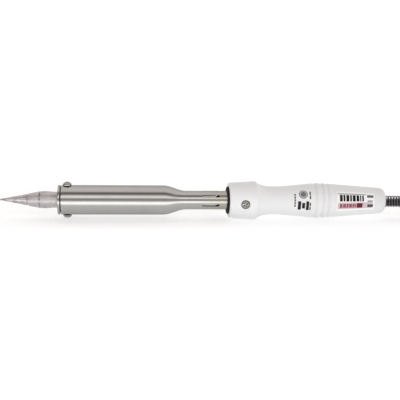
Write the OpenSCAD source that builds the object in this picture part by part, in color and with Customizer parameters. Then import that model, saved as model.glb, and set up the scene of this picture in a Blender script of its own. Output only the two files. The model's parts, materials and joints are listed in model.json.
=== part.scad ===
// Heavy mains soldering iron: a plated copper tip held by two screws in a steel barrel,
// a moulded handle, and a cord that ends in a round-pin plug.
// The iron lies along X: the point of the tip towards -X, the cord towards +X, +Z up.

/* [Tip] */
// Length of the pointed cone
cone_l = 18.1; // [15:0.1:18.5]
// Diameter of the cone at its back
cone_d = 7.9; // [6.6:0.1:8.2]
// Largest diameter of the tip
tip_d = 11.9; // [11.3:0.1:12.6]
// Diameter of the shank
shank_d = 11; // [10.4:0.1:11]
// Distance from the point to the widest place
tip_crown = 29.6; // [27:0.1:33]

/* [Barrel] */
// Distance from the point to the front of the collar
collar_front = 39.1; // [38:0.1:41]
// Outer diameter of the wide part of the barrel
barrel_d = 20.5; // [20.2:0.1:21.6]
// Thickness of the barrel's sheet steel
barrel_wall = 0.6; // [0.5:0.05:0.7]
// Where the wide part ends
shoulder_start = 111.3; // [110:0.1:113]
// Where the narrow neck starts
shoulder_end = 127.6; // [124:0.1:131]
// Outer diameter of the neck
neck_d = 13; // [12.8:0.1:13.2]
// Number of cooling slots round the neck
slot_count = 6; // [4:1:6]
// Length of a cooling slot
slot_l = 12; // [8:0.5:13]
// Width of a cooling slot
slot_w = 1.8; // [1.4:0.1:2.4]

/* [Handle] */
// Distance from the point to the front of the handle
handle_front = 157; // [156:0.5:158]
// Length of the handle
handle_l = 112; // [110:0.5:115]
// Diameter of the handle's head at its back
head_d = 27.1; // [26.6:0.1:29]
// Diameter of the waist
waist_d = 19.95; // [19.2:0.1:21]
// Largest diameter of the grip
grip_d = 24.8; // [23:0.1:26]
// Diameter of the grip where its rear end rounds over
rear_d = 18.2; // [16.8:0.1:19]
// Depth of the ring grooves
groove_depth = 0.7; // [0.2:0.05:0.8]

/* [Cord] */
// Diameter of the cord
cord_d = 4.6; // [4.4:0.1:4.6]
// Outer diameter of the spring guard
guard_d = 8.2; // [8.2:0.1:8.6]
// Wire diameter of the spring guard
guard_wire = 0.9; // [0.8:0.05:0.9]
// Pitch of the spring guard's coils
guard_pitch = 2; // [1.8:0.1:2.4]

/* [Hidden] */

$fn = 96;
gap = 0.1; // between pieces of one body that lie together
running = 0.05; // radial clearance of a running or threaded fit

// The iron's frame: its axis is at the height of the head's radius, and X is 0 at mid length.
axis_z = head_d / 2;
iron_l = 306;
handle_end = handle_front + handle_l;

// Barrel and what it holds, as distances from the point and radii
barrel_r = barrel_d / 2;
neck_r = neck_d / 2;
shank_r = shank_d / 2;
flare_r = cone_d / 2 + 0.3;
bore_r = barrel_r - barrel_wall;
collar_flange = 1.7;
barrel_front = collar_front + collar_flange + 0.6;
collar_end = collar_front + 13;
shank_end = 104;
heater_front = 55;
heater_end = 106;
core_r = shank_r + 0.15;
core_wall = 0.5;
mica_wall = 0.45;
winding_wire = 0.8;
winding_turns = 20;
slot_start = 138.2;
slot_turn = 8.4;
support_r = neck_r - barrel_wall - 0.85;
support_end = 148;
lead_y = 1.6;

// Handle
bush_front = 162;
washer_front = 155.9;
bush_end = 173;
screw_at = 167.6;
socket_r = 9.8;
socket_end = 177;
cavity_r = 7.5;
cavity_end = 262;
rear_hole_r = 4.7;
head_front_r = head_d / 2 - 1.1;
shoulder_at = handle_front + 18.6;
waist_front = handle_front + 32.5;
waist_back = handle_front + 34.5;
crest_at = handle_front + 61.6;
taper_at = handle_front + 72;
rear_round = 3.4;
groove_at = [217.9, 222.8, 226.8];
groove_half = 1.5;

// Screws
m3_r = 1.5;
pan_r = 3;
pan_h = 2.3;

// Terminal block
block_front = 186;
block_l = 20;
block_w = 11.4;
block_h = 7.6;
insert_y = 2.9;
insert_r = 1.9;

// Guard and cord inside it. Both lie at the bottom of what they pass through.
guard_r = guard_d / 2;
cord_r = cord_d / 2;
guard_start = 261.6;
guard_bend = 284;
guard_radius = 75;
guard_drop = rear_hole_r - guard_r;
cord_drop = guard_drop + guard_r - guard_wire - cord_r - 0.1;
jacket_end = 222;

// Hank: turns side by side and on each other, lying on the surface behind the iron
hank_at = 402;
hank_half = 28;
turn_r = 14.2;
turn_step = cord_d + 0.1;
hank_layers = 3;
hank_h = hank_layers * cord_d;
hank_r = turn_r + turn_step + cord_r;
pinch = 9; // how far each side is drawn in at the tie
tie_w = 5;
tie_t = 0.6;

// Plug, lying on the hank with its pins away from the iron
plug_r = 6.6;
plug_z = hank_h + 2 * tie_t + plug_r + 0.1;
plug_y = -9;
plug_back = 406.5;
plug_body_l = 30;
boot_l = 22;
boot_behind = 14;
plug_side = 6.5;
pin_r = 2;
pin_root_r = 1.6;
pin_l = 19;
pin_spacing = 19;

// Centre lines of the free cord: [distance from the point, Y, height above the surface].
// The first starts where the cord leaves the guard, the second where it leaves the hank.
cord_route = [[305.56, 0, 8.78], [309.2, 0, 7.5], [314, 0, 6], [320, 0, 4.5], [327, -1, 3.3],
    [334, -3, 2.6], [341, -7, 2.3], [348, -12, 2.3], [355, -16.5, 2.3], [361, -18.9, 2.3]];
cord_end_route = [[360.8, -5.3, 16.3], [363.8, -10, 17.4], [368.4, -13.2, 18.5], [374, -14.2, 19.6],
    [380, -13.2, 20.6], [386, -11, 21.3], [392.4, -9.2, 21.7]];

// Ease from 0 to 1 with flat ends
function ease(t) = (1 - cos(180 * t)) / 2;
function mix(a, b, t) = a + (b - a) * t;

// Outline of the handle: radius at a distance from the point
function groove(a, g) = abs(a - g) >= groove_half ? 0
    : groove_depth * (1 + cos(180 * (a - g) / groove_half)) / 2;
function body_r(a) =
    a < shoulder_at ? mix(head_front_r, head_d / 2, (a - handle_front) / (shoulder_at - handle_front))
    : a < waist_front ? waist_d / 2
        + (head_d / 2 - waist_d / 2) * pow(1 - (a - shoulder_at) / (waist_front - shoulder_at), 3)
    : a < waist_back ? waist_d / 2
    : a < crest_at ? mix(waist_d / 2, grip_d / 2, pow((a - waist_back) / (crest_at - waist_back), 1.2))
    : a < taper_at ? mix(grip_d / 2, grip_d / 2 - 0.45, pow((a - crest_at) / (taper_at - crest_at), 2))
    : mix(grip_d / 2 - 0.45, rear_d / 2, (a - taper_at) / (handle_end - 3 - taper_at));
function handle_r(a) = body_r(a) - groove(a, groove_at[0]) - groove(a, groove_at[1])
    - groove(a, groove_at[2]);
function span(from, to, steps) = [for (i = [0 : steps]) mix(from, to, i / steps)];
function outline(list) = [for (a = list) [a, handle_r(a)]];

handle_outline = concat(
    [[handle_front, head_front_r - 0.95], [handle_front + 0.35, head_front_r - 0.4]],
    outline([handle_front + 1.1, shoulder_at - 1.2]),
    [[shoulder_at - 0.3, head_d / 2 - 0.12], [shoulder_at + 0.6, head_d / 2 - 0.75]],
    outline(span(shoulder_at + 1.4, waist_front, 12)),
    outline(span(waist_back, groove_at[0] - groove_half, 10)),
    [for (g = groove_at) each outline(span(g - groove_half + 0.25, g + groove_half - 0.25, 10))],
    outline(span(groove_at[2] + groove_half, handle_end - rear_round, 6)),
    [for (t = [15 : 15 : 90]) [handle_end - rear_round * (1 - sin(t)),
        handle_r(handle_end - rear_round) - rear_round * (1 - cos(t))]]);

// Place a shape that is drawn along its own Z, from the point of the tip, on the iron's axis.
// Its X then points down and its Y stays across.
module on_axis() {
    translate([-iron_l / 2, 0, axis_z])
        rotate([0, 90, 0])
            children();
}

// Body of revolution of a closed outline of [distance, radius] points
module lathe(points) {
    rotate_extrude()
        polygon([for (p = points) [p.y, p.x]]);
}

module ring(from, to, inner, outer) {
    translate([0, 0, from])
        difference() {
            cylinder(h = to - from, r = outer);
            translate([0, 0, -1])
                cylinder(h = to - from + 2, r = inner);
        }
}

// Put a shape drawn along its own Z on a radius of the iron: side 0 is -Y, 90 is +Z
module on_radius(at, side) {
    on_axis()
        translate([0, 0, at])
            rotate([0, 0, -90 - side])
                rotate([0, 90, 0])
                    children();
}

// Closed tube along a path, swept with a fixed up direction
function unit(v) = v / norm(v);
function along(path, i) = unit(path[min(i + 1, len(path) - 1)] - path[max(i - 1, 0)]);
function ring_points(path, i, r, sides, up) =
    let (t = along(path, i), u = unit(cross(up, t)), v = cross(t, u))
    [for (k = [0 : sides - 1]) path[i] + r * (cos(360 * k / sides) * u + sin(360 * k / sides) * v)];

module tube(path, r, sides, up = [0, 0, 1]) {
    n = len(path);
    points = [for (i = [0 : n - 1]) each ring_points(path, i, r, sides, up)];
    caps = [[for (k = [0 : sides - 1]) k], [for (k = [sides - 1 : -1 : 0]) (n - 1) * sides + k]];
    walls = [for (i = [0 : n - 2], k = [0 : sides - 1], half = [0, 1])
        let (a = i * sides + k, b = i * sides + (k + 1) % sides)
        half == 0 ? [a, a + sides, b] : [b, a + sides, b + sides]];
    polyhedron(points, concat(caps, walls));
}

// From [distance from the point, Y, height] to the part's frame
function placed(route) = [for (p = route) [p.x - iron_l / 2, p.y, p.z]];

// Smooth curve through the points of a route
function spline(p, i, t) =
    let (a = p[max(i - 1, 0)], b = p[i], c = p[i + 1], d = p[min(i + 2, len(p) - 1)])
    0.5 * (2 * b + (c - a) * t + (2 * a - 5 * b + 4 * c - d) * t * t
        + (3 * b - a - 3 * c + d) * t * t * t);
function smooth(p, steps) = concat(
    [for (i = [0 : len(p) - 2], s = [0 : steps - 1]) spline(p, i, s / steps)], [p[len(p) - 1]]);

// Centre of the guard's bore at a distance along it: straight, then an arc that droops
function droop(s) = s < guard_bend ? [s, 0, axis_z]
    : let (turn = (s - guard_bend) / guard_radius * 180 / PI)
        [guard_bend + guard_radius * sin(turn), 0, axis_z - guard_radius * (1 - cos(turn))];
function droop_up(s) = let (turn = max(0, s - guard_bend) / guard_radius * 180 / PI)
    [sin(turn), 0, cos(turn)];
guard_arc_end = 306.4;

// Pan-head screw: its seat at Z 0, its head above and its thread below
module pan_screw(thread_l) {
    pitch = 0.5;
    teeth = floor((thread_l - 1) / pitch);
    difference() {
        rotate_extrude()
            polygon(concat(
                [[0, -thread_l], [m3_r - 0.35, -thread_l], [m3_r, -thread_l + 0.35]],
                [for (i = [1 : teeth], edge = [0, 1])
                    [m3_r - 0.22 * edge, -thread_l + 0.35 + (i - 0.5 + edge / 2) * pitch - 0.25]],
                [[m3_r, -0.3], [m3_r, 0], [pan_r, 0], [pan_r, 0.75]],
                [for (t = [10 : 10 : 80]) [pan_r * cos(t), 0.75 + (pan_h - 0.75) * sin(t)]],
                [[0, pan_h]]));
        for (turn = [0, 90])
            rotate([0, 0, turn])
                translate([-1.6, -0.32, pan_h - 1.25])
                    cube([3.2, 0.64, 2]);
    }
}

module tip() {
    color("#a8a4a6")
        on_axis()
            lathe(concat(
                [[0, 0], [0, 0.28], [0.25, 0.42], [cone_l, cone_d / 2]],
                [[cone_l + 0.15, cone_d / 2 - 0.45], [cone_l + 0.75, cone_d / 2 - 0.45]],
                [[cone_l + 0.8, flare_r - 0.12], [cone_l + 1.3, flare_r]],
                [for (t = [0.2 : 0.2 : 1]) [mix(cone_l + 1.3, tip_crown, t),
                    mix(flare_r, tip_d / 2, sin(90 * t) * 0.55 + t * 0.45)]],
                [for (t = [0.25 : 0.25 : 1]) [mix(tip_crown, collar_front - 1.5, t),
                    mix(tip_d / 2, shank_r, ease(t))]],
                [[shank_end - 1, shank_r], [shank_end, shank_r - 1], [shank_end, 0]]));
}

module tip_collar() {
    color("#c4c0bd")
        difference() {
            on_axis()
                lathe([[collar_front, shank_r + running], [collar_front, barrel_r - 0.7],
                    [collar_front + 0.5, barrel_r - 0.05], [collar_front + collar_flange, barrel_r - 0.05],
                    [collar_front + collar_flange, bore_r - gap], [collar_end, bore_r - gap],
                    [collar_end, shank_r + running]]);
            for (side = [90, -90])
                on_radius(tip_screw_at, side)
                    cylinder(h = barrel_r + 2, r = m3_r + running);
        }
}
tip_screw_at = collar_front + 6.4;
tip_screw_seat = barrel_r + 0.1;

module tip_screw(side) {
    color("#d0d0d0")
        on_radius(tip_screw_at, side)
            translate([0, 0, tip_screw_seat])
                rotate([0, 0, 35])
                    pan_screw(tip_screw_seat - shank_r - 0.2);
}

module tip_screw_upper() {
    tip_screw(90);
}

module tip_screw_lower() {
    tip_screw(-90);
}

// Outline of the barrel's outside at a distance from the point
function barrel_outline(inset) = concat(
    [[barrel_front, barrel_r - inset]],
    [for (t = [0 : 0.1 : 1]) [mix(shoulder_start, shoulder_end, t), mix(barrel_r, neck_r, ease(t)) - inset]],
    [[bush_end + 1, neck_r - inset]]);
function backwards(list) = [for (i = [len(list) - 1 : -1 : 0]) list[i]];

module barrel() {
    color("#b9b3b1")
        difference() {
            on_axis()
                lathe(concat(barrel_outline(0), backwards(barrel_outline(barrel_wall))));
            for (side = [90, -90])
                on_radius(tip_screw_at, side)
                    cylinder(h = barrel_r + 2, r = m3_r + 0.35);
            for (i = [0 : slot_count - 1])
                on_radius(slot_start, 30 + slot_turn + i * 360 / slot_count)
                    cooling_slot();
        }
}

// One slot, cut outwards along Z; its length runs towards the handle
module cooling_slot() {
    translate([-slot_l, -slot_w / 2, neck_r - 2])
        cube([slot_l, slot_w, 4]);
}

module heater_core() {
    color("#8f8d8a")
        on_axis()
            ring(collar_end + gap, heater_end - 1, core_r, core_r + core_wall);
}

module inner_mica() {
    color("#cdbf9a")
        on_axis()
            ring(heater_front, heater_end - 2, core_r + core_wall + 0.05, core_r + core_wall + mica_wall);
}

winding_r = core_r + core_wall + mica_wall + 0.3 + winding_wire / 2;

module heating_element() {
    steps = 14;
    start = heater_front + 3;
    pitch = (heater_end - 8 - heater_front) / winding_turns;
    color("#5d5a58")
        on_axis()
            tube([for (i = [0 : winding_turns * steps])
                [winding_r * cos(360 * i / steps), winding_r * sin(360 * i / steps), start + pitch * i / steps]],
                winding_wire / 2, 4);
}

module outer_mica() {
    inner = winding_r + winding_wire / 2 + 0.05;
    color("#cdbf9a")
        on_axis()
            ring(heater_front, heater_end - 2, inner, inner + mica_wall);
}

module heater_jacket() {
    inner = winding_r + winding_wire / 2 + 0.1 + mica_wall;
    color("#9b9895")
        on_axis()
            ring(heater_front, heater_end - 2, inner, inner + 0.4);
}

module front_insulator() {
    color("#e8e2d4")
        on_axis()
            ring(collar_end + 0.3, heater_front - 0.1, core_r + core_wall + 0.05, bore_r - 0.15);
}

module rear_insulator() {
    color("#e8e2d4")
        on_axis()
            difference() {
                translate([0, 0, heater_end])
                    cylinder(h = 4.5, r = bore_r - 0.15);
                for (side = [-1, 1])
                    translate([0, side * lead_y, heater_end - 1])
                        cylinder(h = 7, r = 0.6);
            }
}

module support_tube() {
    color("#e8e2d4")
        on_axis()
            ring(heater_end + 4.6, support_end, support_r - 0.6, support_r);
}

module lead_insulator() {
    color("#efe9dc")
        on_axis()
            difference() {
                translate([0, 0, heater_end + 4.6])
                    cylinder(h = support_end - heater_end - 5.6, r = support_r - 0.7);
                for (side = [-1, 1])
                    translate([0, side * lead_y, heater_end])
                        cylinder(h = 50, r = 0.6);
            }
}

// Nickel wire from the winding, through both insulators, to the terminal block
module element_lead(side) {
    on_axis()
        tube([[0, side * lead_y, heater_end - 1.2], [0, side * lead_y, 130], [0, side * lead_y, 160],
            [0, side * mix(lead_y, insert_y, 0.5), 170], [0, side * insert_y, 179],
            [0, side * insert_y, block_front + 7]], 0.45, 8, [1, 0, 0]);
}

module element_lead_live() {
    color("#b5a88e")
        element_lead(-1);
}

module element_lead_neutral() {
    color("#b5a88e")
        element_lead(1);
}

module mounting_bush() {
    color("#b0aca8")
        difference() {
            on_axis()
                ring(bush_front, bush_end, neck_r + 0.02, socket_r - gap);
            for (side = [0, 180])
                on_radius(screw_at, side)
                    cylinder(h = socket_r + 2, r = m3_r + running);
        }
}

module heat_washer() {
    color("#242322")
        on_axis()
            ring(washer_front, bush_front - 0.1, neck_r + 0.1, socket_r - 0.3);
}

handle_seat = body_r(screw_at) - 1.7;

module handle() {
    color("#e6e6e8")
        difference() {
            on_axis()
                lathe(concat([[handle_front, socket_r]], handle_outline,
                    [[handle_end, rear_hole_r], [cavity_end, rear_hole_r], [cavity_end, cavity_r],
                    [socket_end + 2, cavity_r], [socket_end, socket_r]]));
            for (side = [0, 180])
                on_radius(screw_at, side) {
                    cylinder(h = head_d, r = m3_r + 0.2);
                    translate([0, 0, handle_seat])
                        cylinder(h = head_d, r = pan_r + 0.15);
                }
        }
}

module handle_screws() {
    color("#c2c1bd")
        for (side = [0, 180])
            on_radius(screw_at, side)
                translate([0, 0, handle_seat])
                    rotate([0, 0, 20])
                        pan_screw(handle_seat - neck_r - 0.3);
}

module terminal_block() {
    color("#e9e4d6")
        on_axis()
            difference() {
                translate([-block_h / 2, -block_w / 2, block_front])
                    cube([block_h, block_w, block_l]);
                for (side = [-1, 1])
                    translate([0, side * insert_y, block_front]) {
                        translate([0, 0, -1])
                            cylinder(h = block_l + 2, r = insert_r + 0.02);
                        for (at = [5, block_l - 5])
                            translate([-block_h, 0, at])
                                rotate([0, 90, 0])
                                    cylinder(h = block_h, r = 1.6);
                    }
            }
}

module terminal_inserts() {
    color("#c9a55a")
        on_axis()
            for (side = [-1, 1])
                translate([0, side * insert_y, block_front + 1])
                    difference() {
                        cylinder(h = block_l - 2, r = insert_r);
                        translate([0, 0, -1])
                            cylinder(h = block_l + 2, r = 1.1);
                        for (at = [4, block_l - 6])
                            translate([-4, 0, at])
                                rotate([0, 90, 0])
                                    cylinder(h = 4, r = 1.05);
                    }
}

module terminal_screws() {
    color("#bdbab5")
        on_axis()
            for (side = [-1, 1], at = [5, block_l - 5])
                translate([0, side * insert_y, block_front + at])
                    rotate([0, -90, 0])
                        difference() {
                            union() {
                                translate([0, 0, 1])
                                    cylinder(h = 2, r = 1);
                                translate([0, 0, 2])
                                    cylinder(h = 1.6, r = 1.5);
                            }
                            translate([-2, -0.25, 3])
                                cube([4, 0.5, 1]);
                        }
}

// Insulated conductor from the end of the jacket to the terminal block
module conductor(side) {
    on_axis()
        tube([[0, side * insert_y, block_front + 12], [0, side * insert_y, block_front + block_l + 2],
            [0, side * 2.4, 213], [0, side * 1.6, 218], [0, side * 1.05, jacket_end - 0.15]],
            0.95, 8, [1, 0, 0]);
}

module live_conductor() {
    color("#7a4a2b")
        conductor(-1);
}

module neutral_conductor() {
    color("#3a6ea8")
        conductor(1);
}

// Cord from its stripped end to the end of the guard
tail_route = concat([[jacket_end, 0, axis_z], [232, 0, axis_z], [244, 0, axis_z],
    [252, 0, axis_z - 0.8], [260, 0, axis_z - cord_drop + 0.3]],
    [for (s = [268 : 6 : 298]) droop(s) - cord_drop * droop_up(s)],
    [droop(guard_arc_end) - cord_drop * droop_up(guard_arc_end)]);

module cord_tail() {
    color("#1c1c1e")
        tube(placed(tail_route), cord_r, 12, [0, 1, 0]);
}

module cord_anchor() {
    color("#b8b5b0")
        translate([0, 0, -0.3])
            on_axis()
                ring(244.5, 249.5, cord_r + 0.4, 4.9);
}

module guard_washer() {
    color("#b8b5b0")
        translate([0, 0, -guard_drop])
            on_axis()
                ring(cavity_end - 1.6, cavity_end - 0.3, guard_r + 0.05, 6.2);
}

// Steel spring round the cord, with its coils set square to the drooping centre line
module cord_guard() {
    steps = 12;
    turns = floor((guard_arc_end - guard_start - guard_wire) / guard_pitch);
    coil_r = guard_r - guard_wire / 2;
    color("#8b8b8d")
        tube(placed([for (i = [0 : turns * steps])
            let (s = guard_start + guard_wire / 2 + guard_pitch * i / steps, up = droop_up(s))
            droop(s) - guard_drop * up
                + coil_r * (cos(360 * i / steps) * up - sin(360 * i / steps) * [0, 1, 0])]),
            guard_wire / 2, 6, [1, 0, 0.2]);
}

// Thin patch that follows the handle's surface, between two angles above -Y
module patch(from, to, low, high, steps) {
    on_axis()
        rotate([0, 0, -90 - high])
            rotate_extrude(angle = high - low)
                polygon(concat(
                    [for (a = span(from, to, steps)) [handle_r(a) + 0.04, a]],
                    [for (a = span(to, from, steps)) [handle_r(a) + 0.18, a]]));
}

module rating_label() {
    color("#c9ccd0")
        patch(232.3, 259.4, -26, 44, 6);
}

module front_mark() {
    color("#2a2a2c")
        patch(201.5, 213, -28, 46, 4);
}

module cord() {
    color("#1c1c1e")
        tube(placed(smooth(cord_route, 2)), cord_r, 12, [0, 1, 0.01]);
}

// Outline of the hank seen from above: two round ends and a waist where the tie holds it
hank_side = [for (t = [0 : 0.1 : 1]) [mix(-hank_half, hank_half, t), hank_r - pinch * ease(1 - abs(2 * t - 1))]];
hank_end = [for (turn = [80 : -10 : -80]) [hank_half + hank_r * cos(turn), hank_r * sin(turn)]];

module cord_hank() {
    color("#1c1c1e")
        translate([hank_at - iron_l / 2, 0, 0])
            difference() {
                linear_extrude(hank_h)
                    polygon(concat(hank_side, hank_end, [for (p = concat(hank_side, hank_end)) -p]));
                translate([-tie_w / 2 - 0.1, -hank_r, -1])
                    cube([tie_w + 0.2, 2 * hank_r, 1 + tie_t + 0.05]);
            }
}

module hank_tie() {
    half = hank_r - pinch + 0.15;
    color("#2b2b2d")
        translate([hank_at - iron_l / 2 - tie_w / 2, 0, 0])
            difference() {
                translate([0, -half - tie_t, 0])
                    cube([tie_w, 2 * (half + tie_t), hank_h + 2 * tie_t]);
                translate([-1, -half, tie_t])
                    cube([tie_w + 2, 2 * half, hank_h]);
            }
}

module cord_end() {
    color("#1c1c1e")
        tube(placed(smooth(cord_end_route, 2)), cord_r, 12, [0.01, 0, 1]);
}

// Place a shape that is drawn along its own Z, from the back of the plug towards its pins
module on_plug() {
    translate([plug_back - iron_l / 2, plug_y, plug_z])
        rotate([0, 90, 0])
            children();
}

module plug_boot() {
    color("#1a1a1b")
        on_plug()
            translate([0, 0, -boot_behind])
                difference() {
                    cylinder(h = boot_l, r1 = 3.2, r2 = 5);
                    translate([0, 0, -1])
                        cylinder(h = boot_l, r = cord_r + 0.05);
                    for (at = [3 : 4 : 11])
                        translate([0, 0, at])
                            ring(0, 1.4, cord_r + 0.95, 8);
                }
}

module plug_body() {
    color("#1a1a1b")
        on_plug()
            difference() {
                hull() {
                    translate([0, 0, 1])
                        cylinder(h = 1, r = 6.4, $fn = 32);
                    for (side = [-1, 1])
                        translate([0, side * plug_side, 14])
                            cylinder(h = plug_body_l - 15, r = plug_r, $fn = 32);
                    for (side = [-1, 1])
                        translate([0, side * plug_side, 14])
                            cylinder(h = plug_body_l - 14, r = plug_r - 0.6, $fn = 32);
                }
                cylinder(h = boot_l - boot_behind + 0.1, r = 5.05);
                for (side = [-1, 1])
                    translate([0, side * pin_spacing / 2, plug_body_l - 10])
                        cylinder(h = 12, r = pin_root_r + 0.02);
            }
}

module plug_pins() {
    color("#c8b88a")
        on_plug()
            for (side = [-1, 1])
                translate([0, side * pin_spacing / 2, plug_body_l])
                    rotate_extrude()
                        polygon(concat([[0, -9.9], [pin_root_r, -9.9], [pin_root_r, 0.05], [pin_r, 0.05]],
                            [for (t = [0 : 30 : 90])
                                [pin_r - 1.2 * (1 - cos(t)), pin_l - 1.2 * (1 - sin(t))]],
                            [[0, pin_l]]));
}

tip();
tip_collar();
tip_screw_upper();
tip_screw_lower();
barrel();
heater_core();
inner_mica();
heating_element();
outer_mica();
heater_jacket();
front_insulator();
rear_insulator();
support_tube();
lead_insulator();
element_lead_live();
element_lead_neutral();
mounting_bush();
heat_washer();
handle();
handle_screws();
terminal_block();
terminal_inserts();
terminal_screws();
live_conductor();
neutral_conductor();
cord_anchor();
cord_tail();
guard_washer();
cord_guard();
rating_label();
front_mark();
cord();
cord_hank();
hank_tie();
cord_end();
plug_boot();
plug_body();
plug_pins();
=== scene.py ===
"""The looks of the soldering iron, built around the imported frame. Distances marked mm are the part's own."""
import json
import math

import bmesh
import bpy
from mathutils import Matrix, Vector


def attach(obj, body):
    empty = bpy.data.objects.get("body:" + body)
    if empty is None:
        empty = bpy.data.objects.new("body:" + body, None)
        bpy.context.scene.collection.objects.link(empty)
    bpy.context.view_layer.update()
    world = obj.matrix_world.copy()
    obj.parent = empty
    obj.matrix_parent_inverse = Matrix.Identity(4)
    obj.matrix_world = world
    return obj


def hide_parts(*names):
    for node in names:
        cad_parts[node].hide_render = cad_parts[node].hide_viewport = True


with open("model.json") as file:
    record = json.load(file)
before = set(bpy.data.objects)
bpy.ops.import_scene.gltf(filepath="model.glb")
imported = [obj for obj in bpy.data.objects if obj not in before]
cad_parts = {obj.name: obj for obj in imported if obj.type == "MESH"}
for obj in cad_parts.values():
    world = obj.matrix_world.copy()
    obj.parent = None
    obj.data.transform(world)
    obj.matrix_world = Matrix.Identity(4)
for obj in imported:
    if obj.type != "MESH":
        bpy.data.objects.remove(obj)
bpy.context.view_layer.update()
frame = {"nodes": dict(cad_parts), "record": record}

NODES = frame["nodes"]
MM = 0.001

# ------------------------------------------------------------------ the iron's own measures, in mm
IRON_L = 306.0
HEAD_D = 27.1
AXIS_Z = HEAD_D / 2
HANDLE_FRONT = 157.0
HANDLE_END = 269.0
COLLAR_FRONT = 39.1
GROOVES, GROOVE_HALF, GROOVE_DEPTH = (217.9, 222.8, 226.8), 1.5, 0.7
BARREL_R, BARREL_WALL, NECK_R = 10.25, 0.6, 6.5
BARREL_FRONT = COLLAR_FRONT + 1.7 + 0.6
PLATING_EDGE = 26.8
WASHER_BACK = 161.9


def spot(a, y=0.0, z=0.0):
    """Part-frame point, in metres, from a distance behind the tip, Y and a height above the floor, in mm."""
    return Vector(((a - IRON_L / 2) * MM, y * MM, z * MM))


def mix(a, b, t):
    return a + (b - a) * t


def ease(t):
    return (1 - math.cos(math.pi * t)) / 2


def span(low, high, steps):
    return [mix(low, high, i / steps) for i in range(steps + 1)]


def smooth_line(points, steps):
    """Catmull-Rom curve through the points, steps to a stretch."""
    out = []
    for i in range(len(points) - 1):
        p0, p1, p2, p3 = (points[max(i - 1, 0)], points[i], points[i + 1],
                          points[min(i + 2, len(points) - 1)])
        for s in range(steps):
            t = s / steps
            out.append(0.5 * (2 * p1 + (p2 - p0) * t + (2 * p0 - 5 * p1 + 4 * p2 - p3) * t * t
                              + (3 * p1 - p0 - 3 * p2 + p3) * t ** 3))
    return out + [points[-1]]


# ------------------------------------------------------------------ camera
CAMERA_AZIMUTH = math.radians(-6.0)
CAMERA_ELEVATION = math.radians(13.7)
CAMERA_DISTANCE = 0.560
CAMERA_LENS = 72.0
CAMERA_ROLL = math.radians(1.59)
CAMERA_TARGET = spot(137.2, 0, AXIS_Z + 0.05)


def make_camera():
    data = bpy.data.cameras.new("camera")
    data.lens = CAMERA_LENS
    data.sensor_width = 36.0
    camera = bpy.data.objects.new("camera", data)
    bpy.context.scene.collection.objects.link(camera)
    out = Vector((math.sin(CAMERA_AZIMUTH) * math.cos(CAMERA_ELEVATION),
                  -math.cos(CAMERA_AZIMUTH) * math.cos(CAMERA_ELEVATION),
                  math.sin(CAMERA_ELEVATION)))
    camera.location = CAMERA_TARGET + out * CAMERA_DISTANCE
    turn = (-out).to_track_quat("-Z", "Y").to_matrix().to_4x4()

    camera.rotation_euler = (turn @ Matrix.Rotation(CAMERA_ROLL, 4, "Z")).to_euler()
    bpy.context.scene.camera = camera


make_camera()

# ------------------------------------------------------------------ the cord's route, in mm
CORD_D = 4.6
GUARD_D = 8.2
GUARD_WIRE = 0.9
GUARD_PITCH = 2.0
GUARD_START = 261.6
GUARD_BEND = 284.0
GUARD_RADIUS = 75.0
GUARD_END = 306.4
REAR_HOLE_R = 4.7
GUARD_DROP = REAR_HOLE_R - GUARD_D / 2
CORD_DROP = GUARD_DROP + GUARD_D / 2 - GUARD_WIRE - CORD_D / 2 - 0.1
JACKET_END = 222.0

HANK_AT = 402.0
HANK_HALF = 28.0
TURN_INNER = 14.2
TURN_OUTER = TURN_INNER + CORD_D + 0.1
PINCH = 9.0
TIE_T = 0.6
LAYERS = [CORD_D * (i + 0.5) for i in range(3)]

CORD_ROUTE = [(305.7, 0, 8.9), (309.2, 0, 7.6), (314, 0, 6), (320, 0, 4.5), (327, -1, 3.3),
              (334, -3, 2.6), (341, -7, 2.3), (348, -12, 2.3), (355, -16.5, 2.3), (361, -18.9, 2.3)]
CORD_END_ROUTE = [(360.8, -5.3, 16.3), (363.8, -10, 17.4), (368.4, -13.2, 18.5), (374, -14.2, 19.6),
                  (380, -13.2, 20.6), (386, -11, 21.3), (392.4, -9.2, 21.7), (398, -9, 21.7)]


def droop(s):
    """Centre of the guard's bore, and its up direction, at a distance along it."""
    turn = max(0.0, s - GUARD_BEND) / GUARD_RADIUS
    if s < GUARD_BEND:
        return Vector((s, 0, AXIS_Z)), Vector((0, 0, 1))
    centre = Vector((GUARD_BEND + GUARD_RADIUS * math.sin(turn), 0,
                     AXIS_Z - GUARD_RADIUS * (1 - math.cos(turn))))
    return centre, Vector((math.sin(turn), 0, math.cos(turn)))


def hank_run(turn_r, z, toward, x_from, x_to, steps=8):
    """Straight run of a turn on one side, drawn in at the middle, where the tie lifts it."""
    side = -1 if toward > 0 else 1
    points = []
    for t in span(0, 1, steps):
        x = mix(x_from, x_to, t)
        inward = ease(max(0.0, 1 - abs(x) / HANK_HALF))
        lift = (TIE_T + 0.1) * math.exp(-(x / 6) ** 2)
        points.append((HANK_AT + x, side * (turn_r - PINCH * inward), z + lift))
    return points


def hank_bend(end, r_from, r_to, z_from, z_to, upto=180, steps=8):
    """Round end of a turn: end +1 is away from the iron, -1 towards it."""
    points = []
    for i in range(1, steps):
        t = i / steps
        angle = math.radians(-90 + upto * t) if end > 0 else math.radians(90 + upto * t)
        r = mix(r_from, r_to, ease(t))
        points.append((HANK_AT + end * HANK_HALF + r * math.cos(angle), r * math.sin(angle),
                       mix(z_from, z_to, ease(t))))
    return points


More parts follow.
